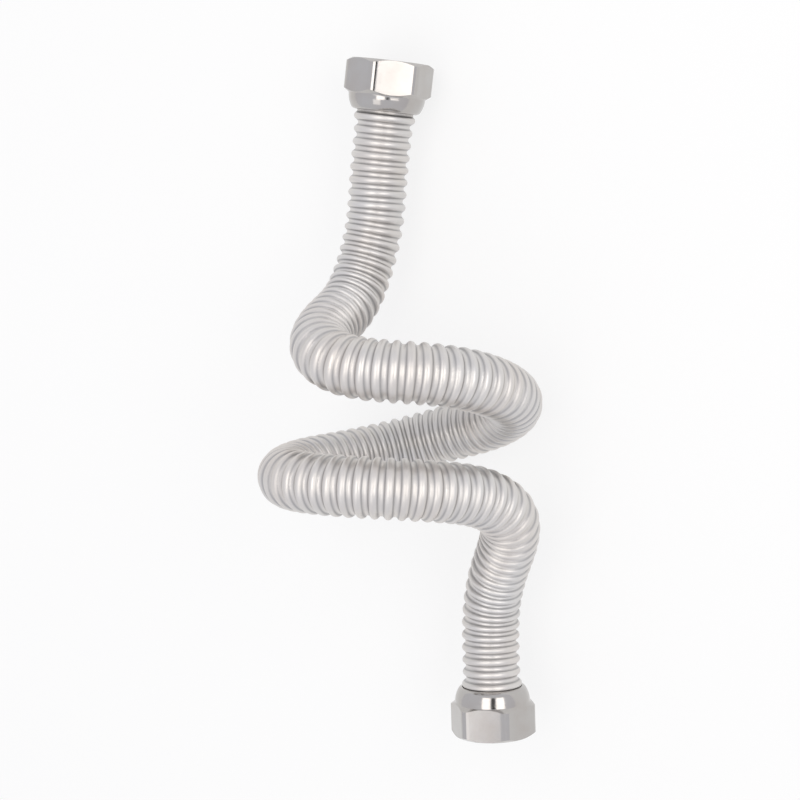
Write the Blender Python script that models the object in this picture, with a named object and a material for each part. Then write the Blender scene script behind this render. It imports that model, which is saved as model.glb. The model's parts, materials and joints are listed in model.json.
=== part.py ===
"""Flexible corrugated pipe connector: one bent corrugated steel tube with a union nut on each end.

The tube is one thin wall with ring corrugations, open at both ends and turned out into a flange at each.
A hexagon union nut turns freely behind each flange, and a flat sealing ring lies in front of the flange.
Lengths below are in millimetres. The part lies on its back, as it comes to rest on a table:
+Y runs from the lower nut to the upper one, +Z is up, and the origin is under the middle of the part.
"""

import math

import bmesh
import bpy
import numpy as np
from mathutils import Matrix, Vector

MM = 0.001

# Corrugated tube
CREST_RADIUS = 12.2
CORRUGATION_DEPTH = 1.5
CORRUGATION_PITCH = 5.12
TUBE_WALL = 0.35
TUBE_SIDES = 12
FLANGE_RIM = 0.9
FLANGE_THICKNESS = 0.8
UPPER_NECK_LENGTH = 2.6
LOWER_NECK_LENGTH = 1.0

# Union nuts, measured from the open mouth inwards
NUT_WALL = 2.9
HEXAGON_LENGTH = 14.0
COLLAR_LENGTH = 6.6
COLLAR_DRAFT = 0.7
COLLAR_ROUNDING = 2.4
MOUTH_CHAMFER_DEPTH = 1.5
BACK_CHAMFER_DEPTH = 1.7
CHAMFER_UNDERCUT = 0.15
TURNING_ALLOWANCE = 1.0
TURNING_SLOPE = 0.6
THREAD_STEP = 0.1
THREAD_LEAD_IN = 1.2
SEAT_DEPTH = 12.2
FLANGE_ROOM = 0.4
NUT_SEGMENTS = 36
ROUNDING_STEPS = 4
UPPER_NUT_TURN = 27.0
LOWER_NUT_TURN = -5.5

# Flat sealing rings
SEAL_THICKNESS = 2.0

# Gap between pieces that touch on the real part
SEATING_GAP = 0.3

# Centreline of the bent tube from the upper flange face to the lower one, chosen by hand: the upper
# tail, the first turn, the front run, the second turn, the back run that lies lowest, the third turn,
# the second front run, the last turn and the lower tail.
ROUTE = [
    (-14.4, 128.0, 19.2),
    (-17.2, 106.2, 20.4),
    (-18.8, 91.8, 21.3),
    (-19.9, 78.3, 22.5),
    (-21.8, 65.8, 24.4),
    (-24.4, 52.8, 29.1),
    (-26.9, 41.7, 39.1),
    (-29.0, 35.1, 55.1),
    (-25.0, 29.4, 73.4),
    (-14.5, 25.7, 83.5),
    (-2.6, 23.6, 85.8),
    (12.4, 22.3, 83.6),
    (28.6, 19.4, 73.6),
    (40.2, 12.6, 55.8),
    (40.6, 0.9, 30.5),
    (26.3, -9.4, 16.0),
    (10.1, -15.2, 12.5),
    (-11.2, -21.3, 16.1),
    (-30.5, -24.5, 32.1),
    (-42.5, -24.7, 52.4),
    (-42.4, -24.1, 71.4),
    (-31.6, -22.9, 84.2),
    (-15.0, -22.3, 89.3),
    (1.5, -22.6, 88.3),
    (15.4, -23.9, 83.0),
    (27.1, -26.4, 73.7),
    (37.4, -31.5, 60.9),
    (43.1, -42.1, 47.2),
    (39.3, -57.0, 36.3),
    (33.7, -70.0, 30.7),
    (30.0, -83.6, 28.3),
    (29.0, -97.1, 28.5),
    (29.8, -112.6, 30.8),
    (30.7, -128.5, 32.9),
]
ROUTE_SAMPLES_PER_SPAN = 60

# Everything across the tube follows from its crests: the flange stands out past them, the nut's wall
# goes round the flange, and the thread's bore is a step inside the crests.
ROOT_RADIUS = CREST_RADIUS - CORRUGATION_DEPTH
TUBE_BORE_RADIUS = ROOT_RADIUS - TUBE_WALL
FLANGE_RADIUS = CREST_RADIUS + FLANGE_RIM
THREAD_BORE_RADIUS = CREST_RADIUS - THREAD_STEP
NUT_FLATS = 2 * (FLANGE_RADIUS + NUT_WALL)
NUT_LENGTH = HEXAGON_LENGTH + COLLAR_LENGTH
NUT_CORNER_RADIUS = NUT_FLATS / 2 / math.cos(math.pi / 6)
SHOULDER_BORE_RADIUS = CREST_RADIUS + FLANGE_ROOM
FLANGE_CHAMBER_RADIUS = FLANGE_RADIUS + FLANGE_ROOM

STEEL_TUBE = {"color": (0.66, 0.65, 0.64), "roughness": 0.32, "metallic": 1.0}
NICKEL_NUT = {"color": (0.58, 0.56, 0.54), "roughness": 0.24, "metallic": 1.0}
SEAL_FIBRE = {"color": (0.03, 0.03, 0.035), "roughness": 0.75, "metallic": 0.0}


def clear_scene():
    for old in list(bpy.data.objects):
        bpy.data.objects.remove(old, do_unlink=True)


def make_material(name, finish):
    material = bpy.data.materials.new(name)
    material.use_nodes = True
    shader = material.node_tree.nodes["Principled BSDF"]
    shader.inputs["Base Color"].default_value = (*finish["color"], 1.0)
    shader.inputs["Roughness"].default_value = finish["roughness"]
    shader.inputs["Metallic"].default_value = finish["metallic"]
    return material


def add_object(name, bm, material):
    mesh = bpy.data.meshes.new(name)
    bm.to_mesh(mesh)
    bm.free()
    mesh.materials.append(material)
    mesh.shade_smooth()
    mesh.set_sharp_from_angle(angle=math.radians(40))
    piece = bpy.data.objects.new(name, mesh)
    bpy.context.collection.objects.link(piece)
    return piece


def turned_ring(section, segments):
    """A closed section of (radius, height) points, turned once round the Z axis into a ring."""
    bm = bmesh.new()
    corners = [bm.verts.new((radius * MM, 0.0, height * MM)) for radius, height in section]
    edges = [bm.edges.new((a, b)) for a, b in zip(corners, corners[1:] + corners[:1])]
    bmesh.ops.spin(
        bm,
        geom=corners + edges,
        cent=(0.0, 0.0, 0.0),
        axis=(0.0, 0.0, 1.0),
        angle=2 * math.pi,
        steps=segments,
        use_merge=True,
    )
    bmesh.ops.recalc_face_normals(bm, faces=bm.faces)
    return bm


def smooth_route(points):
    """Samples of the smooth curve through the points, with their distances along it."""
    through = np.array(points, dtype=float)
    spans = np.sqrt(np.linalg.norm(np.diff(through, axis=0), axis=1))
    count = len(through)
    system = np.zeros((count, count))
    target = np.zeros((count, 3))
    system[0, 0] = system[-1, -1] = 1.0
    slopes = np.diff(through, axis=0) / spans[:, None]
    for i in range(1, count - 1):
        system[i, i - 1 : i + 2] = spans[i - 1], 2 * (spans[i - 1] + spans[i]), spans[i]
        target[i] = 6 * (slopes[i] - slopes[i - 1])
    bends = np.linalg.solve(system, target)
    samples = []
    for i, span in enumerate(spans):
        for step in np.arange(ROUTE_SAMPLES_PER_SPAN) / ROUTE_SAMPLES_PER_SPAN:
            a, b = 1.0 - step, step
            straight = a * through[i] + b * through[i + 1]
            bulge = ((a**3 - a) * bends[i] + (b**3 - b) * bends[i + 1]) * span**2 / 6
            samples.append(straight + bulge)
    samples = np.array(samples + [through[-1]])
    distances = np.append(0.0, np.cumsum(np.linalg.norm(np.diff(samples, axis=0), axis=1)))
    return samples, distances


class Centreline:
    """Places and directions along the bent tube, without twist between them."""

    def __init__(self, points):
        self.samples, self.distances = smooth_route(points)
        self.length = self.distances[-1]
        ahead = np.gradient(self.samples, self.distances, axis=0)
        self.along = ahead / np.linalg.norm(ahead, axis=1)[:, None]
        side = np.cross(self.along[0], (0.0, 0.0, 1.0))
        self.side = np.zeros_like(self.samples)
        for i, along in enumerate(self.along):
            side = side - side.dot(along) * along
            side = side / np.linalg.norm(side)
            self.side[i] = side

    def _read(self, rows, distance):
        return Vector([np.interp(distance, self.distances, rows[:, axis]) for axis in range(3)])

    def frame(self, distance):
        """A matrix at this distance: Z along the tube, X to its side."""
        along = self._read(self.along, distance).normalized()
        side = self._read(self.side, distance)
        side = (side - side.dot(along) * along).normalized()
        turn = Matrix((side, along.cross(side), along)).transposed().to_4x4()
        return Matrix.Translation(self._read(self.samples, distance) * MM) @ turn

    def end_frame(self, distance, outward):
        """A matrix on the tube's end: Z outwards, X level, so that a hexagon's flats can be turned."""
        along = self._read(self.along, distance).normalized() * outward
        level = Vector((0.0, 0.0, 1.0)).cross(along).normalized()
        turn = Matrix((level, along.cross(level), along)).transposed().to_4x4()
        return Matrix.Translation(self._read(self.samples, distance) * MM) @ turn


def tube_section(length):
    """The wall's closed section along a straight tube: the outer waves out, the inner waves back."""
    wave_start = FLANGE_THICKNESS + UPPER_NECK_LENGTH
    waved_length = length - wave_start - FLANGE_THICKNESS - LOWER_NECK_LENGTH
    wave_count = round(waved_length / CORRUGATION_PITCH)
    half_pitch = waved_length / wave_count / 2
    waves = []
    for i in range(2 * wave_count + 1):
        radius = CREST_RADIUS if i % 2 else ROOT_RADIUS
        waves.append((radius, wave_start + i * half_pitch))
    outer = [(FLANGE_RADIUS, 0.0), (FLANGE_RADIUS, FLANGE_THICKNESS), (ROOT_RADIUS, FLANGE_THICKNESS)]
    outer += waves
    outer += [(radius, length - along) for radius, along in reversed(outer[:3])]
    inner = [(radius - TUBE_WALL, along) for radius, along in waves]
    inner = [(TUBE_BORE_RADIUS, 0.0)] + inner + [(TUBE_BORE_RADIUS, length)]
    return outer + inner[::-1]


def corrugated_tube(route, material):
    """The straight corrugated tube is turned first, then every ring is carried to its place on the route."""
    bm = turned_ring(tube_section(route.length), TUBE_SIDES)
    frames = {}
    for corner in bm.verts:
        distance = round(corner.co.z / MM, 3)
        if distance not in frames:
            frames[distance] = route.frame(distance)
        corner.co = frames[distance] @ Vector((corner.co.x, corner.co.y, 0.0))
    bmesh.ops.recalc_face_normals(bm, faces=bm.faces)
    return add_object("corrugated_tube", bm, material)


def collar_outline():
    """The smooth collar behind the hexagon: a slight taper, then a rounded end."""
    start = NUT_FLATS / 2 - CHAMFER_UNDERCUT
    shoulder = start - COLLAR_DRAFT
    centre = NUT_LENGTH - COLLAR_ROUNDING
    outline = [(start, HEXAGON_LENGTH)]
    for step in range(ROUNDING_STEPS + 1):
        angle = math.pi / 2 * step / ROUNDING_STEPS
        radius = shoulder - COLLAR_ROUNDING * (1 - math.cos(angle))
        outline.append((radius, centre + COLLAR_ROUNDING * math.sin(angle)))
    return outline


def nut_section():
    """Half of the nut's section, from the mouth at height 0 down to the collar's end, outside then inside."""
    chamfer_radius = NUT_FLATS / 2 - CHAMFER_UNDERCUT
    flange_back = SEAT_DEPTH + FLANGE_THICKNESS
    thread_crest_radius = THREAD_BORE_RADIUS + THREAD_LEAD_IN
    outside = [
        (chamfer_radius, 0.0),
        (NUT_CORNER_RADIUS, MOUTH_CHAMFER_DEPTH),
        (NUT_CORNER_RADIUS + TURNING_ALLOWANCE, MOUTH_CHAMFER_DEPTH + TURNING_SLOPE),
        (NUT_CORNER_RADIUS + TURNING_ALLOWANCE, HEXAGON_LENGTH - BACK_CHAMFER_DEPTH - TURNING_SLOPE),
        (NUT_CORNER_RADIUS, HEXAGON_LENGTH - BACK_CHAMFER_DEPTH),
    ]
    inside = [
        (SHOULDER_BORE_RADIUS, NUT_LENGTH),
        (SHOULDER_BORE_RADIUS, flange_back + SEATING_GAP),
        (FLANGE_CHAMBER_RADIUS, flange_back + SEATING_GAP),
        (FLANGE_CHAMBER_RADIUS, SEAT_DEPTH - SEATING_GAP),
        (THREAD_BORE_RADIUS, SEAT_DEPTH - SEATING_GAP),
        (THREAD_BORE_RADIUS, THREAD_LEAD_IN),
        (thread_crest_radius, 0.0),
    ]
    return outside + collar_outline() + inside


def hexagon_guide(nut):
    """The six flats, as a prism that the turned nut is cut to. It is a guide and not a piece."""
    bm = bmesh.new()
    bmesh.ops.create_cone(
        bm,
        cap_ends=True,
        segments=6,
        radius1=NUT_CORNER_RADIUS * MM,
        radius2=NUT_CORNER_RADIUS * MM,
        depth=3 * NUT_LENGTH * MM,
        matrix=Matrix.Rotation(math.pi / 6, 4, "Z"),
    )
    mesh = bpy.data.meshes.new(nut.name + "_flats")
    bm.to_mesh(mesh)
    bm.free()
    guide = bpy.data.objects.new(nut.name + "_flats", mesh)
    bpy.context.collection.objects.link(guide)
    guide.parent = nut
    guide.hide_render = True
    guide.display_type = "WIRE"
    return guide


def union_nut(name, seat, turn, material):
    """A nut whose own Z runs out of its mouth, turned about it, with the tube's flange on its seat."""
    section = [(radius, -depth) for radius, depth in nut_section()]
    nut = add_object(name, turned_ring(section, NUT_SEGMENTS), material)
    nut.matrix_world = seat @ Matrix.Translation((0, 0, SEAT_DEPTH * MM)) @ Matrix.Rotation(turn, 4, "Z")
    cut = nut.modifiers.new("flats", "BOOLEAN")
    cut.operation = "INTERSECT"
    cut.object = hexagon_guide(nut)
    return nut


def sealing_ring(name, nut, material):
    """A flat ring in the nut, between the tube's flange and whatever is screwed in."""
    outer = THREAD_BORE_RADIUS - SEATING_GAP
    near = -SEAT_DEPTH + SEATING_GAP
    far = near + SEAL_THICKNESS
    section = [(TUBE_BORE_RADIUS, near), (outer, near), (outer, far), (TUBE_BORE_RADIUS, far)]
    ring = add_object(name, turned_ring(section, NUT_SEGMENTS), material)
    ring.parent = nut
    return ring


def stand_on_origin(pieces):
    """Moves the part so that its box stands on the ground, centred over the origin."""
    bpy.context.view_layer.update()
    graph = bpy.context.evaluated_depsgraph_get()
    corners = []
    for piece in pieces:
        shown = piece.evaluated_get(graph)
        corners += [piece.matrix_world @ vertex.co for vertex in shown.data.vertices]
    low = Vector([min(corner[axis] for corner in corners) for axis in range(3)])
    high = Vector([max(corner[axis] for corner in corners) for axis in range(3)])
    shift = Vector(((low.x + high.x) / 2, (low.y + high.y) / 2, low.z))
    for piece in pieces:
        if piece.parent is None:
            piece.matrix_world = Matrix.Translation(-shift) @ piece.matrix_world


def main():
    clear_scene()
    steel = make_material("satin_steel", STEEL_TUBE)
    nickel = make_material("bright_nickel", NICKEL_NUT)
    fibre = make_material("seal_fibre", SEAL_FIBRE)
    route = Centreline(ROUTE)
    tube = corrugated_tube(route, steel)
    upper_seat = route.end_frame(0.0, -1.0)
    lower_seat = route.end_frame(route.length, 1.0)
    upper_nut = union_nut("upper_nut", upper_seat, math.radians(UPPER_NUT_TURN), nickel)
    lower_nut = union_nut("lower_nut", lower_seat, math.radians(LOWER_NUT_TURN), nickel)
    upper_seal = sealing_ring("upper_sealing_ring", upper_nut, fibre)
    lower_seal = sealing_ring("lower_sealing_ring", lower_nut, fibre)
    stand_on_origin([tube, upper_nut, lower_nut, upper_seal, lower_seal])


main()
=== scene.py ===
"""Looks of a bent corrugated pipe connector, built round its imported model.

The corrugated tube, the two union nuts and the two sealing rings are modelled again with their
finer shapes, and stand for the plain solids of the same names. Lengths are in millimetres, apart
from mesh coordinates, which are in metres. The part lies on its back: +Y runs from the lower nut to
the upper one and +Z is up.
"""

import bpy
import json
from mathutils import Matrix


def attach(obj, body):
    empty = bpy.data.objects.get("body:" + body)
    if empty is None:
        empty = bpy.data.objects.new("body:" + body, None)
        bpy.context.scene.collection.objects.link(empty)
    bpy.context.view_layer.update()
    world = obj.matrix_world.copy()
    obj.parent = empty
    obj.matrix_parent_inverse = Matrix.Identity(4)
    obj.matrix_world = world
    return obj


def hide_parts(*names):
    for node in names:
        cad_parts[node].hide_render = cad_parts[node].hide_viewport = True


bl_info = {
    "name": "Corrugated Pipe Connector",
    "version": (1, 0, 0),
    "blender": (4, 5, 0),
    "location": "3D View > Sidebar > Pipe Connector",
    "description": "Builds a bent corrugated tube with a union nut on each end, and its stage",
    "category": "Add Mesh",
}

import json
import math

import bmesh
import bpy
import numpy as np
from bpy.props import FloatProperty, FloatVectorProperty, IntProperty, PointerProperty
from mathutils import Matrix, Vector

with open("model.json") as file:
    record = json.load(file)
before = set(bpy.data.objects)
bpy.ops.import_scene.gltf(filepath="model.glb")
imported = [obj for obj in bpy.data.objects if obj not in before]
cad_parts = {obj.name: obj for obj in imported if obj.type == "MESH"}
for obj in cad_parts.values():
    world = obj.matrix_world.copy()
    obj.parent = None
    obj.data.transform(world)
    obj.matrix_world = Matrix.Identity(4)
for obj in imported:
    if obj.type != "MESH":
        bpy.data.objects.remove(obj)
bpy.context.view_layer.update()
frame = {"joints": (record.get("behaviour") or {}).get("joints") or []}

MM = 0.001

# The same points of the tube's centreline as in the part's source, from flange face to flange face.
ROUTE = [
    (-14.4, 128.0, 19.2), (-17.2, 106.2, 20.4), (-18.8, 91.8, 21.3), (-19.9, 78.3, 22.5),
    (-21.8, 65.8, 24.4), (-24.4, 52.8, 29.1), (-26.9, 41.7, 39.1), (-29.0, 35.1, 55.1),
    (-25.0, 29.4, 73.4), (-14.5, 25.7, 83.5), (-2.6, 23.6, 85.8), (12.4, 22.3, 83.6),
    (28.6, 19.4, 73.6), (40.2, 12.6, 55.8), (40.6, 0.9, 30.5), (26.3, -9.4, 16.0),
    (10.1, -15.2, 12.5), (-11.2, -21.3, 16.1), (-30.5, -24.5, 32.1), (-42.5, -24.7, 52.4),
    (-42.4, -24.1, 71.4), (-31.6, -22.9, 84.2), (-15.0, -22.3, 89.3), (1.5, -22.6, 88.3),
    (15.4, -23.9, 83.0), (27.1, -26.4, 73.7), (37.4, -31.5, 60.9), (43.1, -42.1, 47.2),
    (39.3, -57.0, 36.3), (33.7, -70.0, 30.7), (30.0, -83.6, 28.3), (29.0, -97.1, 28.5),
    (29.8, -112.6, 30.8), (30.7, -128.5, 32.9),
]
SAMPLES_PER_SPAN = 60

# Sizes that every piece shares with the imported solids.
SEAT_DEPTH = 12.2
FLANGE_RADIUS = 13.1
FLANGE_THICKNESS = 0.8
UPPER_NECK_LENGTH = 2.6
LOWER_NECK_LENGTH = 1.0
SEATING_GAP = 0.3
FLANGE_ROOM = 0.4
THREAD_CREST_RADIUS = 12.1
NUT_TURNS = {"upper_nut": 27.0, "lower_nut": -5.5}

# The view of the photograph.
CAMERA_PLACE = (0.225556, 0.123494, 0.646204)
CAMERA_RIGHT = (0.93648, -0.02700, -0.34966)
CAMERA_UP = (-0.03906, 0.98280, -0.18049)
CAMERA_BACK = (0.34851, 0.18268, 0.91933)
CAMERA_LENS = 72.0
CAMERA_SENSOR = 36.0


# Centreline of the bent tube


def smooth_route(points):
    """Samples of the smooth curve through the points, with their distances along it."""
    through = np.array(points, dtype=float)
    spans = np.sqrt(np.linalg.norm(np.diff(through, axis=0), axis=1))
    count = len(through)
    system = np.zeros((count, count))
    target = np.zeros((count, 3))
    system[0, 0] = system[-1, -1] = 1.0
    slopes = np.diff(through, axis=0) / spans[:, None]
    for i in range(1, count - 1):
        system[i, i - 1 : i + 2] = spans[i - 1], 2 * (spans[i - 1] + spans[i]), spans[i]
        target[i] = 6 * (slopes[i] - slopes[i - 1])
    bends = np.linalg.solve(system, target)
    samples = []
    for i, span in enumerate(spans):
        for step in np.arange(SAMPLES_PER_SPAN) / SAMPLES_PER_SPAN:
            a, b = 1.0 - step, step
            straight = a * through[i] + b * through[i + 1]
            bulge = ((a**3 - a) * bends[i] + (b**3 - b) * bends[i + 1]) * span**2 / 6
            samples.append(straight + bulge)
    samples = np.array(samples + [through[-1]])
    distances = np.append(0.0, np.cumsum(np.linalg.norm(np.diff(samples, axis=0), axis=1)))
    return samples, distances


class Centreline:
    """Places and directions along the bent tube, without twist between them."""

    def __init__(self):
        joint = nut_joint("upper_nut")
        mouth = np.array(joint["pos_m"]) / MM
        axis = np.array(joint["axis"]) / np.linalg.norm(joint["axis"])
        shift = mouth - SEAT_DEPTH * axis - np.array(ROUTE[0])
        self.samples, self.distances = smooth_route(np.array(ROUTE) + shift)
        self.length = self.distances[-1]
        ahead = np.gradient(self.samples, self.distances, axis=0)
        self.along = ahead / np.linalg.norm(ahead, axis=1)[:, None]
        side = np.cross(self.along[0], (0.0, 0.0, 1.0))
        self.side = np.zeros_like(self.samples)
        for i, along in enumerate(self.along):
            side = side - side.dot(along) * along
            side = side / np.linalg.norm(side)
            self.side[i] = side

    def read(self, rows, distance):
        """A row's value at this distance along the tube."""
        return Vector([np.interp(distance, self.distances, rows[:, axis]) for axis in range(3)])

    def frame(self, distance):
        """A matrix at this distance: Z along the tube, X to its side."""
        along = self.read(self.along, distance).normalized()
        side = self.read(self.side, distance)
        side = (side - side.dot(along) * along).normalized()
        turn = Matrix((side, along.cross(side), along)).transposed().to_4x4()
        return Matrix.Translation(self.read(self.samples, distance) * MM) @ turn


def nut_joint(body):
    """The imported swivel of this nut."""
    return next(joint for joint in frame["joints"] if joint["child"] == body)


def nut_frame(body):
    """A matrix on the nut's open mouth: Z out of it along the swivel's axis, X across a flat."""
    joint = nut_joint(body)
    along = Vector(joint["axis"]).normalized()
    level = Vector((0.0, 0.0, 1.0)).cross(along).normalized()
    turn = Matrix((level, along.cross(level), along)).transposed().to_4x4()
    turned = Matrix.Rotation(math.radians(NUT_TURNS[body]), 4, "Z")
    return Matrix.Translation(joint["pos_m"]) @ turn @ turned


# Material helpers


def new_material(name):
    """A node material with its nodes, links and main shader."""
    material = bpy.data.materials.new(name)
    material.use_nodes = True
    nodes = material.node_tree.nodes
    links = material.node_tree.links
    return material, nodes, links, nodes["Principled BSDF"]


def pattern_noise(nodes, links, source, scale, detail, stretch=(1, 1, 1), turn=(0.0, 0.0, 0.0)):
    """Noise on the given coordinates, stretched along an axis by a small scale there."""
    mapping = nodes.new("ShaderNodeMapping")
    mapping.inputs["Scale"].default_value = stretch
    mapping.inputs["Rotation"].default_value = turn
    links.new(source, mapping.inputs["Vector"])
    noise = nodes.new("ShaderNodeTexNoise")
    noise.inputs["Scale"].default_value = scale
    noise.inputs["Detail"].default_value = detail
    links.new(mapping.outputs["Vector"], noise.inputs["Vector"])
    return noise.outputs["Fac"]


def spread(nodes, links, source, low, high, from_low=0.3, from_high=0.7):
    """A value taken from one range to another."""
    ramp = nodes.new("ShaderNodeMapRange")
    ramp.inputs["From Min"].default_value = from_low
    ramp.inputs["From Max"].default_value = from_high
    ramp.inputs["To Min"].default_value = low
    ramp.inputs["To Max"].default_value = high
    links.new(source, ramp.inputs["Value"])
    return ramp.outputs["Result"]


def blend_colours(nodes, links, factor, first, second):
    """Colour that goes from first to second; each is a colour or another node's output."""
    mix = nodes.new("ShaderNodeMix")
    mix.data_type = "RGBA"
    links.new(factor, mix.inputs["Factor"])
    for socket, colour in ((mix.inputs[6], first), (mix.inputs[7], second)):
        if isinstance(colour, bpy.types.NodeSocket):
            links.new(colour, socket)
        else:
            socket.default_value = (*colour, 1.0)
    return mix.outputs[2]


def add_bump(nodes, links, shader, height, strength, distance):
    """Fine relief from a height pattern."""
    bump = nodes.new("ShaderNodeBump")
    bump.inputs["Strength"].default_value = strength
    bump.inputs["Distance"].default_value = distance
    links.new(height, bump.inputs["Height"])
    links.new(bump.outputs["Normal"], shader.inputs["Normal"])


# Mesh helpers


def open_chain(bm, points):
    """A chain of edges through (radius, height) points in the XZ plane."""
    corners = [bm.verts.new((radius * MM, 0.0, height * MM)) for radius, height in points]
    return corners, [bm.edges.new(pair) for pair in zip(corners, corners[1:])]


def closed_chain(bm, points):
    """The corners of a chain whose last point is joined to its first."""
    corners, edges = open_chain(bm, points)
    bm.edges.new((corners[-1], corners[0]))
    return corners


def spin_full(bm, sides):
    """Turns every edge once round the Z axis."""
    bmesh.ops.spin(
        bm, geom=bm.verts[:] + bm.edges[:], cent=(0.0, 0.0, 0.0), axis=(0.0, 0.0, 1.0),
        angle=2 * math.pi, steps=sides, use_merge=True,
    )
    bmesh.ops.recalc_face_normals(bm, faces=bm.faces)


def arc(centre_radius, centre_height, radius, first, last, steps):
    """(radius, height) points on an arc; angles in degrees, 0 pointing away from the axis."""
    points = []
    for step in range(steps + 1):
        angle = math.radians(first + (last - first) * step / steps)
        across, up = radius * math.cos(angle), radius * math.sin(angle)
        points.append((centre_radius + across, centre_height + up))
    return points


def finish_piece(name, bm, material, sharp_angle, body, node):
    """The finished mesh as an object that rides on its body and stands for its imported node."""
    mesh = bpy.data.meshes.new(name)
    bm.to_mesh(mesh)
    bm.free()
    mesh.materials.append(material)
    mesh.shade_smooth()
    mesh.set_sharp_from_angle(angle=math.radians(sharp_angle))
    piece = bpy.data.objects.new(name, mesh)
    bpy.context.collection.objects.link(piece)
    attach(piece, body)
    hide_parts(node)
    return piece


# Corrugated tube


def steel_tube_finish(tube):
    """Satin stainless steel: painted shade as a dark line on the steep walls of each fold, faint rings
    from forming, and warm patches painted as reflections of the room.
    """
    material, nodes, links, shader = new_material("satin_steel")
    place = nodes.new("ShaderNodeTexCoord").outputs["Object"]
    wrap = nodes.new("ShaderNodeUVMap")
    wrap.uv_map = "tube_wrap"
    groove = nodes.new("ShaderNodeAttribute")
    groove.attribute_name = "groove"
    # Painted reflection: warm patches on the steel stand in for warm reflections of the room.
    clouds = pattern_noise(nodes, links, place, scale=38.0, detail=3.0)
    painted_warm_reflection = spread(nodes, links, clouds, 0.0, 0.55)
    long_round = (2.2, 0.035, 1.0)
    rings = pattern_noise(
        nodes, links, wrap.outputs["UV"], scale=1.0, detail=4.0, stretch=long_round,
    )
    metal = blend_colours(nodes, links, painted_warm_reflection, tube.steel_colour, tube.tarnish_and_reflection_colour)
    # Painted shade: a dark line on the steep walls of each fold, at a set depth, where shade and dark
    # reflections fall.
    off_fold = groove.outputs["Fac"]
    for operation in ("SUBTRACT", "ABSOLUTE"):
        step = nodes.new("ShaderNodeMath")
        step.operation = operation
        step.inputs[1].default_value = tube.painted_fold_shade_depth
        links.new(off_fold, step.inputs[0])
        off_fold = step.outputs["Value"]
    line_reach = 0.36
    shade = spread(nodes, links, off_fold, tube.painted_fold_shade_strength, 0.0, 0.0, line_reach)
    links.new(blend_colours(nodes, links, shade, metal, tube.painted_fold_shade_colour), shader.inputs["Base Color"])
    less, more = 0.07, 0.1
    roughness = spread(nodes, links, rings, tube.roughness - less, tube.roughness + more)
    links.new(roughness, shader.inputs["Roughness"])
    shader.inputs["Metallic"].default_value = 1.0
    add_bump(nodes, links, shader, rings, strength=0.25, distance=0.0002)
    return material


def wave_points(tube, pitch):
    """The outer and inner walls of one wave, from one groove's middle at height 0 to the next."""
    slope = 2 * math.degrees(math.atan(2 * tube.wave_depth / pitch))
    both_rounds = pitch / 2 / math.sin(math.radians(slope))
    crest_round = both_rounds * tube.crest_share
    root_round = both_rounds - crest_round
    crest_centre = tube.crest_radius - crest_round
    root_centre = tube.crest_radius - tube.wave_depth + root_round
    walls = []
    for inset, root_steps, crest_steps in ((0.0, 3, 6), (tube.wall, 1, 3)):
        wall = arc(root_centre, 0.0, root_round + inset, 180, 180 - slope, root_steps)
        wall += arc(crest_centre, pitch / 2, crest_round - inset, -slope, slope, crest_steps)
        wall += arc(root_centre, pitch, root_round + inset, slope - 180, -180, root_steps)
        walls.append(wall)
    return walls


def repeat_chain(bm, points, start, pitch, count):
    """A row of equal chains, one wave after the other."""
    corners, edges = open_chain(bm, [(radius, start + height) for radius, height in points])
    for step in range(1, count):
        copied = bmesh.ops.duplicate(bm, geom=corners + edges)["geom"]
        moved = [item for item in copied if isinstance(item, bmesh.types.BMVert)]
        bmesh.ops.translate(bm, verts=moved, vec=(0.0, 0.0, step * pitch * MM))


def wave_spacing(tube, length):
    """Where the first wave starts, how many there are and how long each is."""
    start = FLANGE_THICKNESS + UPPER_NECK_LENGTH
    waved = length - start - LOWER_NECK_LENGTH - FLANGE_THICKNESS
    count = round(waved / tube.pitch)
    return start, count, waved / count


def straight_tube(tube, length):
    """The whole tube turned round the Z axis before it is bent, with a flange at each end."""
    root = tube.crest_radius - tube.wave_depth
    bore = root - tube.wall
    start, count, pitch = wave_spacing(tube, length)
    end = start + count * pitch
    bm = bmesh.new()
    for wall in wave_points(tube, pitch):
        repeat_chain(bm, wall, start, pitch, count)
    lip = tube.wall / 2
    flange = [(bore, lip), (bore + lip, 0.0), (FLANGE_RADIUS - lip, 0.0), (FLANGE_RADIUS, lip)]
    flange += [(FLANGE_RADIUS, FLANGE_THICKNESS - lip), (FLANGE_RADIUS - lip, FLANGE_THICKNESS)]
    flange += [(root + lip, FLANGE_THICKNESS), (root, FLANGE_THICKNESS + lip)]
    open_chain(bm, [(bore, start)] + flange + [(root, start)])
    mirrored = [(radius, length - height) for radius, height in flange]
    open_chain(bm, [(bore, end)] + mirrored + [(root, end)])
    bmesh.ops.remove_doubles(bm, verts=bm.verts, dist=0.002 * MM)
    spin_full(bm, tube.sides)
    return bm


def wrap_tube(bm, tube, length):
    """UV map with the distance along and round the tube in millimetres, and how deep each corner is."""
    layer = bm.loops.layers.uv.new("tube_wrap")
    groove = bm.verts.layers.float.new("groove")
    for corner in bm.verts:
        radius = math.hypot(corner.co.x, corner.co.y) / MM
        corner[groove] = min(1.0, max(0.0, (tube.crest_radius - radius) / tube.wave_depth))
    for face in bm.faces:
        middle = face.calc_center_median()
        around = math.atan2(middle.y, middle.x)
        for loop in face.loops:
            angle = math.atan2(loop.vert.co.y, loop.vert.co.x)
            angle += 2 * math.pi * round((around - angle) / (2 * math.pi))
            loop[layer].uv = (loop.vert.co.z / MM, angle * tube.crest_radius)


def rise_at(waves):
    """Smooth rise to 1 and back within half a wave to either side of 0."""
    return math.cos(math.pi * waves) ** 2 if abs(waves) < 0.5 else 0.0


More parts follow.
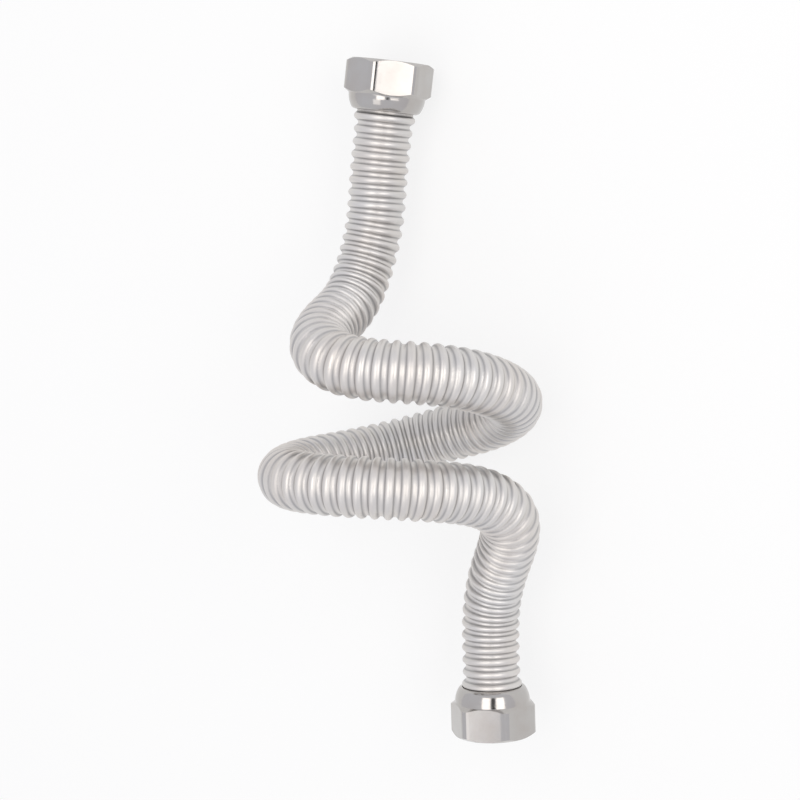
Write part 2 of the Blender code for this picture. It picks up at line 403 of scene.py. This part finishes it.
def bend_tube(bm, tube, route):
    """Carries every ring of the straight tube to its place.

    At each end the first groove is shallower and the second wave is swollen, where the nut's collar
    sits. The upper neck, which shows in the gap behind its nut, is wider than a groove.
    """
    start, count, pitch = wave_spacing(tube, route.length)
    end = start + count * pitch
    frames = {}
    for corner in bm.verts:
        distance = round(corner.co.z / MM, 3)
        if distance not in frames:
            frames[distance] = route.frame(distance)
        waves = min(distance - start, end - distance) / pitch
        flat = Vector((corner.co.x, corner.co.y, 0.0))
        radius = flat.length / MM
        raised = tube.end_filling * rise_at(waves - 1.0) + tube.swell * rise_at(waves - 1.5)
        raised += tube.neck_filling * rise_at((distance - start) / pitch)
        flat *= 1.0 + raised / radius
        corner.co = frames[distance] @ flat


# Union nuts


def nickel_nut_finish(name, nut, body):
    """Bright nickel on turned steel: fine grain along the flats, soft patches and small marks."""
    material, nodes, links, shader = new_material(name)
    place = nodes.new("ShaderNodeTexCoord").outputs["Object"]
    turn = nut_frame(body).to_quaternion().inverted().to_euler()
    fine_along = (5200.0, 5200.0, 190.0)
    grain = pattern_noise(
        nodes, links, place, scale=1.0, detail=3.0, stretch=fine_along, turn=turn,
    )
    patches = pattern_noise(nodes, links, place, scale=90.0, detail=4.0)
    tone = spread(nodes, links, patches, 0.0, 0.6)
    metal = blend_colours(nodes, links, tone, nut.nickel_colour, nut.tarnish_and_reflection_colour)
    links.new(metal, shader.inputs["Base Color"])
    rough = nodes.new("ShaderNodeMath")
    rough.operation = "ADD"
    less, more = 0.03, 0.05
    links.new(spread(nodes, links, grain, -less, more), rough.inputs[0])
    clouds = spread(nodes, links, patches, nut.roughness - less, nut.roughness + more)
    links.new(clouds, rough.inputs[1])
    links.new(rough.outputs["Value"], shader.inputs["Roughness"])
    shader.inputs["Metallic"].default_value = 1.0
    add_bump(nodes, links, shader, grain, strength=0.12, distance=0.00005)
    return material


def nut_outline(nut):
    """Half of the nut's closed section, from the mouth over the hexagon and collar and back inside."""
    corner = hexagon_radius(nut, math.pi / 6)
    edge = nut.across_flats / 2 - nut.undercut
    back = nut.hexagon_length
    end = back + nut.collar_length
    turn = math.radians(nut.collar_turn)
    rounding = nut.collar_rounding
    belly = nut.collar_belly
    belly_centre = edge - nut.collar_draft - belly
    end_centre = belly_centre + (belly - rounding) * math.cos(turn)
    belly_height = end - rounding - (belly - rounding) * math.sin(turn)
    flange_lap = 0.5
    brim_in, brim_up = 0.15, 0.06
    heel_in, heel_up = 0.12, 0.15
    bore_bevel_out, bore_bevel_up = 0.1, 0.3
    seat_bevel = 0.4
    mouth_bevel_out, mouth_bevel_up = 0.2, 0.25
    bore = FLANGE_RADIUS - flange_lap
    chamber = FLANGE_RADIUS + FLANGE_ROOM
    flange_back = SEAT_DEPTH + FLANGE_THICKNESS + SEATING_GAP
    flange_front = SEAT_DEPTH - SEATING_GAP
    thread = nut.thread_root_radius
    outside = [(edge - brim_in, 0.0), (edge, brim_up)]
    outside += [(corner, nut.mouth_chamfer), (corner, back - nut.back_chamfer)]
    outside += [(edge, back), (edge - heel_in, back + heel_up)]
    outside += arc(belly_centre, belly_height, belly, 3, nut.collar_turn, 6)
    outside += arc(end_centre, end - rounding, rounding, nut.collar_turn, 84, 6)[1:]
    inside = [(bore + bore_bevel_out, end), (bore, end - bore_bevel_up), (bore, flange_back)]
    inside += [(chamber, flange_back), (chamber, flange_front), (thread, flange_front - seat_bevel)]
    inside += [(thread, mouth_bevel_up), (thread + mouth_bevel_out, 0.0)]
    return [(radius, -depth) for radius, depth in outside + inside]


def flat_end(nut):
    """Angle from the middle of a flat to where the corner's rounding starts."""
    half = nut.across_flats / 2
    return math.atan((half - nut.corner_rounding) * math.tan(math.pi / 6) / half)


def hexagon_radius(nut, off_flat):
    """Radius of the hexagon with its rounded corners, at this angle from the middle of a flat."""
    half = nut.across_flats / 2
    if abs(off_flat) <= flat_end(nut):
        return half / math.cos(off_flat)
    centre = (half - nut.corner_rounding) / math.cos(math.pi / 6)
    off_corner = math.pi / 6 - abs(off_flat)
    across = centre * math.sin(off_corner)
    return centre * math.cos(off_corner) + math.sqrt(nut.corner_rounding**2 - across**2)


def press_flats(bm, nut):
    """Moves the two widest rings in to the six flats and rounded corners.

    Each chamfer then ends in an arc on every flat.
    """
    corner = hexagon_radius(nut, math.pi / 6)
    edge = nut.across_flats / 2 - nut.undercut
    tolerance = 0.01
    for vert in bm.verts:
        if abs(math.hypot(vert.co.x, vert.co.y) / MM - corner) > tolerance:
            continue
        angle = math.atan2(vert.co.y, vert.co.x)
        even = angle % (math.pi / 3) - math.pi / 6
        share = abs(even) / (math.pi / 12)
        if share <= 1.0:
            off_flat = flat_end(nut) * math.sin(math.pi / 2 * share)
        else:
            off_flat = flat_end(nut) + (math.pi / 6 - flat_end(nut)) * (share - 1.0)
        angle += math.copysign(off_flat, even) - even
        radius = hexagon_radius(nut, off_flat)
        rise = (radius - edge) / (corner - edge)
        at_mouth = -vert.co.z / MM < nut.hexagon_length / 2
        depth = nut.mouth_chamfer * rise if at_mouth else nut.hexagon_length - nut.back_chamfer * rise
        vert.co = Vector((math.cos(angle) * radius, math.sin(angle) * radius, -depth)) * MM


def cut_thread(bm, nut):
    """One right-hand ridge inside the mouth, run out at both ends in the lead-in and at the seat."""
    sunk, from_mouth, from_seat = 0.1, 0.15, 0.2
    steps_per_turn = 64
    run_out_turns = 0.5
    lead_in_start = 0.05
    wall = nut.thread_root_radius + sunk
    crest = THREAD_CREST_RADIUS
    half = nut.thread_pitch / 2
    first = half + from_mouth
    last = SEAT_DEPTH - SEATING_GAP - half - from_seat
    steps = round((last - first) / nut.thread_pitch * steps_per_turn)
    ridge = bmesh.new()
    foot, shoulder, tip, shoulder_drop = 0.96 * half, 0.34 * half, 0.16 * half, 0.25
    section = [(wall, -foot), (crest + shoulder_drop, -shoulder), (crest, -tip)]
    section += [(radius, -height) for radius, height in reversed(section)]
    placed = [(radius, height - first) for radius, height in section]
    start = ridge.faces.new(closed_chain(ridge, placed))
    bmesh.ops.spin(
        ridge, geom=[start], cent=(0, 0, 0), axis=(0, 0, -1),
        dvec=(0, 0, -nut.thread_pitch * MM / steps_per_turn),
        angle=2 * math.pi * steps / steps_per_turn, steps=steps, use_merge=False,
    )
    for vert in ridge.verts:
        depth = -vert.co.z / MM
        radius = math.hypot(vert.co.x, vert.co.y) / MM
        # The angle gives the part of a turn, and the depth how many whole turns come before it.
        turned = -math.atan2(vert.co.y, vert.co.x) / (2 * math.pi)
        at_turn = turned + round((depth - first) / nut.thread_pitch - turned)
        from_end = min(at_turn, steps / steps_per_turn - at_turn)
        lead_in = wall + lead_in_start - depth
        run_out = wall - (wall - crest) * from_end / run_out_turns
        kept = min(wall, max(radius, lead_in, run_out))
        vert.co.x *= kept / radius
        vert.co.y *= kept / radius
    bmesh.ops.recalc_face_normals(ridge, faces=ridge.faces)
    spare = bpy.data.meshes.new("thread_ridge")
    ridge.to_mesh(spare)
    ridge.free()
    bm.from_mesh(spare)
    bpy.data.meshes.remove(spare)


def build_nut(name, nut, material):
    """One union nut, turned, pressed to its flats and threaded."""
    bm = bmesh.new()
    closed_chain(bm, nut_outline(nut))
    spin_full(bm, nut.sides)
    press_flats(bm, nut)
    cut_thread(bm, nut)
    bmesh.ops.transform(bm, matrix=nut_frame(name), verts=bm.verts)
    return finish_piece(
        name + "_detailed", bm, material, sharp_angle=28.0, body=name, node=name,
    )


# Sealing rings


def seal_finish(seal):
    """Dark pressed fibre: a fine grain and a faint sheen."""
    material, nodes, links, shader = new_material("seal_fibre")
    place = nodes.new("ShaderNodeTexCoord").outputs["Object"]
    grain = pattern_noise(nodes, links, place, scale=2600.0, detail=3.0)
    tone = spread(nodes, links, grain, 0.0, 1.0)
    pale = tuple(min(1.0, part * 1.9 + 0.01) for part in seal.colour)
    links.new(blend_colours(nodes, links, tone, seal.colour, pale), shader.inputs["Base Color"])
    links.new(spread(nodes, links, grain, 0.62, 0.85), shader.inputs["Roughness"])
    add_bump(nodes, links, shader, grain, strength=0.3, distance=0.00008)
    return material


def build_seal(body, seal, inner_radius, material):
    """One flat ring in its nut, in front of the tube's flange."""
    outer = THREAD_CREST_RADIUS - SEATING_GAP
    near = SEAT_DEPTH - SEATING_GAP
    far = near - seal.thickness
    soft = seal.edge_rounding
    section = arc(outer - soft, -near + soft, soft, -90, 0, 3)
    section += arc(outer - soft, -far - soft, soft, 0, 90, 3)
    section += arc(inner_radius + soft, -far - soft, soft, 90, 180, 3)
    section += arc(inner_radius + soft, -near + soft, soft, 180, 270, 3)
    bm = bmesh.new()
    closed_chain(bm, section)
    spin_full(bm, seal.sides)
    bmesh.ops.transform(bm, matrix=nut_frame(body), verts=bm.verts)
    node = body.replace("nut", "sealing_ring")
    return finish_piece(
        node + "_detailed", bm, material, sharp_angle=40.0, body=body, node=node,
    )


# Stage


def white_rays(nodes, links):
    """1 for the rays that see the background: from the camera, and through glass or off metal."""
    path = nodes.new("ShaderNodeLightPath")
    value = path.outputs["Is Camera Ray"]
    for name in ("Is Glossy Ray", "Is Transmission Ray"):
        either = nodes.new("ShaderNodeMath")
        either.operation = "MAXIMUM"
        links.new(value, either.inputs[0])
        links.new(path.outputs[name], either.inputs[1])
        value = either.outputs["Value"]
    return value


def floor_finish(stage):
    """Matt white table top, faintly uneven, partly whitened to the camera and in the metal."""
    material, nodes, links, shader = new_material("table_top")
    place = nodes.new("ShaderNodeTexCoord").outputs["Object"]
    clouds = pattern_noise(nodes, links, place, scale=2.0, detail=2.0)
    cloud = spread(nodes, links, clouds, 0.0, 1.0)
    darker = tuple(part * 0.995 for part in stage.floor_colour)
    surface = blend_colours(nodes, links, cloud, stage.floor_colour, darker)
    links.new(surface, shader.inputs["Base Color"])
    shader.inputs["Roughness"].default_value = 0.9
    shader.inputs["Specular IOR Level"].default_value = 0.0
    white = nodes.new("ShaderNodeEmission")
    white.inputs["Strength"].default_value = 1.0
    share = nodes.new("ShaderNodeMath")
    share.operation = "MULTIPLY"
    links.new(white_rays(nodes, links), share.inputs[0])
    share.inputs[1].default_value = stage.floor_whitening
    mix = nodes.new("ShaderNodeMixShader")
    links.new(share.outputs["Value"], mix.inputs[0])
    links.new(shader.outputs["BSDF"], mix.inputs[1])
    links.new(white.outputs["Emission"], mix.inputs[2])
    links.new(mix.outputs["Shader"], nodes["Material Output"].inputs["Surface"])
    return material


def build_floor(stage):
    """The table top that the part lies on."""
    bm = bmesh.new()
    bmesh.ops.create_grid(bm, x_segments=1, y_segments=1, size=stage.floor_size / 2)
    mesh = bpy.data.meshes.new("table_top")
    bm.to_mesh(mesh)
    bm.free()
    mesh.materials.append(floor_finish(stage))
    floor = bpy.data.objects.new("table_top", mesh)
    bpy.context.collection.objects.link(floor)


def build_sky(stage):
    """Even studio room: softer as light on the table than in the metal, plain white to the camera."""
    world = bpy.data.worlds.new("studio_room")
    bpy.context.scene.world = world
    world.use_nodes = True
    nodes = world.node_tree.nodes
    links = world.node_tree.links
    background = nodes["Background"]
    level = nodes.new("ShaderNodeMapRange")
    level.inputs["To Min"].default_value = stage.room_light
    level.inputs["To Max"].default_value = stage.room_reflection
    links.new(white_rays(nodes, links), level.inputs["Value"])
    seen = nodes.new("ShaderNodeLightPath").outputs["Is Camera Ray"]
    whole = nodes.new("ShaderNodeMath")
    whole.operation = "MULTIPLY_ADD"
    whole.inputs[1].default_value = 1.0 - stage.room_reflection
    links.new(seen, whole.inputs[0])
    links.new(level.outputs["Result"], whole.inputs[2])
    links.new(whole.outputs["Value"], background.inputs["Strength"])
    colour = blend_colours(nodes, links, seen, stage.room_colour, (1.0, 1.0, 1.0))
    links.new(colour, background.inputs["Color"])


def view_turn():
    """Turn of the photograph's view: X to its right, Y up and Z towards the camera."""
    return Matrix((CAMERA_RIGHT, CAMERA_UP, CAMERA_BACK)).transposed().to_4x4()


def beside_camera(stage, angle, lift):
    """Place and turn of a light that faces the part from near the camera; angles in degrees."""
    raised = Matrix.Rotation(-math.radians(lift), 4, "X")
    aside = Matrix.Rotation(math.radians(angle), 4, "Y")
    away = Matrix.Translation((0.0, 0.0, stage.softbox_distance))
    return view_turn() @ raised @ aside @ away


def add_softbox(name, stage, angle, lift, size, power):
    """A softbox or panel beside the camera."""
    lamp = bpy.data.lights.new(name, "AREA")
    lamp.shape = "RECTANGLE"
    lamp.size, lamp.size_y = size
    lamp.energy = power
    lamp.color = stage.softbox_colour
    holder = bpy.data.objects.new(name, lamp)
    bpy.context.collection.objects.link(holder)
    holder.matrix_world = beside_camera(stage, angle, lift)


def build_card(stage):
    """Dark card in the gap between the two softboxes, which draws the thin dark line in the highlights."""
    material, _, _, shader = new_material("dark_card")
    shader.inputs["Base Color"].default_value = (0.03, 0.03, 0.03, 1.0)
    shader.inputs["Roughness"].default_value = 0.9
    bm = bmesh.new()
    bmesh.ops.create_grid(bm, x_segments=1, y_segments=1, size=0.5)
    bmesh.ops.scale(bm, vec=(stage.card_width, stage.softbox_size[1], 1.0), verts=bm.verts)
    bmesh.ops.transform(bm, matrix=beside_camera(stage, 0.0, stage.softbox_lift), verts=bm.verts)
    mesh = bpy.data.meshes.new("dark_card")
    bm.to_mesh(mesh)
    bm.free()
    mesh.materials.append(material)
    card = bpy.data.objects.new("dark_card", mesh)
    bpy.context.collection.objects.link(card)


def build_camera():
    """The camera at the photograph's angle."""
    lens = bpy.data.cameras.new("photo_view")
    lens.lens = CAMERA_LENS
    lens.sensor_width = CAMERA_SENSOR
    camera = bpy.data.objects.new("photo_view", lens)
    bpy.context.collection.objects.link(camera)
    camera.matrix_world = Matrix.Translation(CAMERA_PLACE) @ view_turn()
    bpy.context.scene.camera = camera


# Settings


class TubeSettings(bpy.types.PropertyGroup):
    crest_radius: FloatProperty(
        name="Crest radius", description="Radius over the waves, mm", default=12.2,
    )
    wave_depth: FloatProperty(
        name="Wave depth", description="From crest to groove, mm", default=1.5,
    )
    pitch: FloatProperty(name="Pitch", description="From one crest to the next, mm", default=5.12)
    crest_share: FloatProperty(
        name="Crest share", description="Part of the pitch that the crest takes", default=0.55,
        subtype="FACTOR",
    )
    wall: FloatProperty(name="Wall", description="Thickness of the tube's wall, mm", default=0.35)
    end_filling: FloatProperty(
        name="End filling", description="Less depth of the first groove, mm", default=0.9,
    )
    neck_filling: FloatProperty(
        name="Neck filling", description="Less depth of the upper neck, mm", default=0.8,
    )
    swell: FloatProperty(
        name="Swell", description="Extra radius of the second wave from an end, mm", default=0.5,
    )
    sides: IntProperty(name="Sides", description="Number of faces round the tube", default=48)
    steel_colour: FloatVectorProperty(
        name="Steel colour", description="Colour of the clean steel",
        subtype="COLOR", default=(0.715, 0.705, 0.695),
    )
    # Painted reflection: colour of the warm patches painted on the steel in place of warm reflections.
    tarnish_and_reflection_colour: FloatVectorProperty(
        name="Tarnish colour", description="Warm patches on the steel",
        subtype="COLOR", default=(0.745, 0.685, 0.63),
    )
    # Painted shade: colour, depth and strength of the dark line painted on the steep walls of each fold.
    painted_fold_shade_colour: FloatVectorProperty(
        name="Fold colour", description="Colour of the steep walls",
        subtype="COLOR", default=(0.30, 0.30, 0.31),
    )
    painted_fold_shade_depth: FloatProperty(
        name="Fold depth", description="Place of the dark line, 0 to 1 deep", default=0.62,
    )
    painted_fold_shade_strength: FloatProperty(
        name="Fold shade", description="Strength of the dark line", default=0.68,
    )
    roughness: FloatProperty(
        name="Roughness", description="Roughness of the steel", default=0.43, subtype="FACTOR",
    )


class NutSettings(bpy.types.PropertyGroup):
    across_flats: FloatProperty(
        name="Across flats", description="Width of the hexagon, mm", default=32.5,
    )
    hexagon_length: FloatProperty(
        name="Hexagon length", description="Length with flats, mm", default=14.0,
    )
    collar_length: FloatProperty(
        name="Collar length", description="Length of the collar, mm", default=6.6,
    )
    collar_draft: FloatProperty(
        name="Collar draft", description="Of the collar below the hexagon, mm", default=0.2,
    )
    collar_belly: FloatProperty(
        name="Collar belly", description="Radius of the collar's belly, mm", default=11.0,
    )
    collar_turn: FloatProperty(
        name="Collar turn", description="Slope where the belly ends, degrees", default=30.0,
    )
    collar_rounding: FloatProperty(
        name="Collar rounding", description="Radius of its end, mm", default=2.2,
    )
    mouth_chamfer: FloatProperty(
        name="Mouth chamfer", description="Depth at a corner, mm", default=1.4,
    )
    back_chamfer: FloatProperty(
        name="Back chamfer", description="Depth at a corner, mm", default=1.5,
    )
    undercut: FloatProperty(
        name="Undercut", description="Chamfer below the flats, mm", default=0.15,
    )
    corner_rounding: FloatProperty(
        name="Corner rounding", description="Radius of the hexagon's corners, mm", default=4.0,
    )
    thread_root_radius: FloatProperty(
        name="Thread radius", description="Radius of the groove, mm", default=13.2,
    )
    thread_pitch: FloatProperty(
        name="Thread pitch", description="Of the internal thread, mm", default=1.814,
    )
    sides: IntProperty(
        name="Sides", description="Faces round the nut, a multiple of 12", default=96,
    )
    nickel_colour: FloatVectorProperty(
        name="Nickel colour", description="Colour of the bright nickel",
        subtype="COLOR", default=(0.50, 0.49, 0.48),
    )
    tarnish_and_reflection_colour: FloatVectorProperty(
        name="Tarnish colour", description="Soft patches on the nuts",
        subtype="COLOR", default=(0.44, 0.405, 0.38),
    )
    roughness: FloatProperty(
        name="Roughness", description="Roughness of the nuts", default=0.11, subtype="FACTOR",
    )


class SealSettings(bpy.types.PropertyGroup):
    thickness: FloatProperty(
        name="Thickness", description="Thickness of a sealing ring, mm", default=2.0,
    )
    edge_rounding: FloatProperty(
        name="Edge rounding", description="Radius of its edges, mm", default=0.3,
    )
    sides: IntProperty(name="Sides", description="Faces round a ring", default=72)
    colour: FloatVectorProperty(
        name="Colour", description="Colour of the fibre",
        subtype="COLOR", default=(0.030, 0.030, 0.035),
    )


class StageSettings(bpy.types.PropertyGroup):
    floor_size: FloatProperty(
        name="Floor size", description="Width of the table top", default=6.0,
        subtype="DISTANCE", unit="LENGTH",
    )
    floor_colour: FloatVectorProperty(
        name="Floor colour", description="Colour of the table top",
        subtype="COLOR", default=(0.93, 0.93, 0.93),
    )
    floor_whitening: FloatProperty(
        name="Floor whitening", description="Share of plain white in the table top", default=0.75,
        subtype="FACTOR",
    )
    room_colour: FloatVectorProperty(
        name="Room colour", description="Colour of the studio room",
        subtype="COLOR", default=(0.95, 0.955, 1.0),
    )
    room_light: FloatProperty(
        name="Room light", description="Even light on the table", default=0.80,
    )
    room_reflection: FloatProperty(
        name="Room reflection", description="Brightness seen in metal", default=0.88,
    )
    softbox_power: FloatProperty(
        name="Softbox power", description="Power of each softbox", default=1.2,
    )
    softbox_angle: FloatProperty(
        name="Softbox angle", description="From the camera's direction", default=21.5,
    )
    softbox_lift: FloatProperty(
        name="Softbox lift", description="Angle above the camera's direction", default=3.0,
    )
    softbox_colour: FloatVectorProperty(
        name="Softbox colour", description="Colour of their light",
        subtype="COLOR", default=(1.0, 0.95, 0.885),
    )
    panel_angle: FloatProperty(
        name="Panel angle", description="To the right of the camera's direction", default=-33.0,
    )
    panel_lift: FloatProperty(
        name="Panel lift", description="Angle above the camera's direction", default=-33.0,
    )
    panel_size: FloatVectorProperty(
        name="Panel size", description="Width and height, in metres", size=2, default=(0.30, 0.30),
    )
    panel_power: FloatProperty(
        name="Panel power", description="Power of the dim low panel", default=0.19,
    )
    card_width: FloatProperty(
        name="Card width", description="Width of the dark card, in metres", default=0.16,
    )
    softbox_distance: FloatProperty(
        name="Softbox distance", description="From the part, in metres", default=0.8,
    )
    softbox_size: FloatVectorProperty(
        name="Softbox size", description="Width and height, in metres", size=2, default=(0.355, 0.65),
    )


# Operators


class PIPECONNECTOR_OT_tube(bpy.types.Operator):
    """Build the bent corrugated tube with its flanges"""

    bl_idname = "pipe_connector.tube"
    bl_label = "Corrugated Tube"

    def execute(self, context):
        tube = context.scene.connector_tube
        route = Centreline()
        bm = straight_tube(tube, route.length)
        wrap_tube(bm, tube, route.length)
        bend_tube(bm, tube, route)
        steel = steel_tube_finish(tube)
        finish_piece(
            "corrugated_tube_detailed", bm, steel, sharp_angle=50.0, body="tube",
            node="corrugated_tube",
        )
        return {"FINISHED"}


class PIPECONNECTOR_OT_nuts(bpy.types.Operator):
    """Build the two threaded union nuts"""

    bl_idname = "pipe_connector.nuts"
    bl_label = "Union Nuts"

    def execute(self, context):
        nut = context.scene.connector_nut
        for name in NUT_TURNS:
            build_nut(name, nut, nickel_nut_finish("bright_nickel_" + name, nut, name))
        return {"FINISHED"}


class PIPECONNECTOR_OT_seals(bpy.types.Operator):
    """Build the two flat sealing rings"""

    bl_idname = "pipe_connector.seals"
    bl_label = "Sealing Rings"

    def execute(self, context):
        seal = context.scene.connector_seal
        tube = context.scene.connector_tube
        material = seal_finish(seal)
        bore = tube.crest_radius - tube.wave_depth - tube.wall
        for body in NUT_TURNS:
            build_seal(body, seal, bore, material)
        return {"FINISHED"}


class PIPECONNECTOR_OT_stage(bpy.types.Operator):
    """Set the table top, the studio light and the camera"""

    bl_idname = "pipe_connector.stage"
    bl_label = "Stage, Light and Camera"

    def execute(self, context):
        stage = context.scene.connector_stage
        build_floor(stage)
        build_sky(stage)
        size, lift = stage.softbox_size, stage.softbox_lift
        add_softbox("left_softbox", stage, -stage.softbox_angle, lift, size, stage.softbox_power)
        add_softbox("right_softbox", stage, stage.softbox_angle, lift, size, stage.softbox_power)
        size, lift = stage.panel_size, stage.panel_lift
        add_softbox("low_panel", stage, stage.panel_angle, lift, size, stage.panel_power)
        build_card(stage)
        build_camera()
        bpy.context.scene.view_settings.view_transform = "Standard"
        return {"FINISHED"}


class VIEW3D_PT_pipe_connector(bpy.types.Panel):
    """Lists the pieces of the connector and their settings"""

    bl_label = "Pipe Connector"
    bl_idname = "VIEW3D_PT_pipe_connector"
    bl_space_type = "VIEW_3D"
    bl_region_type = "UI"
    bl_category = "Pipe Connector"

    def draw(self, context):
        scene = context.scene
        groups = (
            ("pipe_connector.tube", scene.connector_tube),
            ("pipe_connector.nuts", scene.connector_nut),
            ("pipe_connector.seals", scene.connector_seal),
            ("pipe_connector.stage", scene.connector_stage),
        )
        for operator, settings in groups:
            box = self.layout.box()
            box.operator(operator)
            for name in settings.__annotations__:
                box.prop(settings, name)


CLASSES = (
    TubeSettings,
    NutSettings,
    SealSettings,
    StageSettings,
    PIPECONNECTOR_OT_tube,
    PIPECONNECTOR_OT_nuts,
    PIPECONNECTOR_OT_seals,
    PIPECONNECTOR_OT_stage,
    VIEW3D_PT_pipe_connector,
)


def register():
    for cls in CLASSES:
        bpy.utils.register_class(cls)
    bpy.types.Scene.connector_tube = PointerProperty(type=TubeSettings)
    bpy.types.Scene.connector_nut = PointerProperty(type=NutSettings)
    bpy.types.Scene.connector_seal = PointerProperty(type=SealSettings)
    bpy.types.Scene.connector_stage = PointerProperty(type=StageSettings)


def unregister():
    del bpy.types.Scene.connector_stage
    del bpy.types.Scene.connector_seal
    del bpy.types.Scene.connector_nut
    del bpy.types.Scene.connector_tube
    for cls in reversed(CLASSES):
        bpy.utils.unregister_class(cls)


def main():
    register()
    bpy.ops.pipe_connector.tube()
    bpy.ops.pipe_connector.nuts()
    bpy.ops.pipe_connector.seals()
    bpy.ops.pipe_connector.stage()


if __name__ == "__main__":
    main()
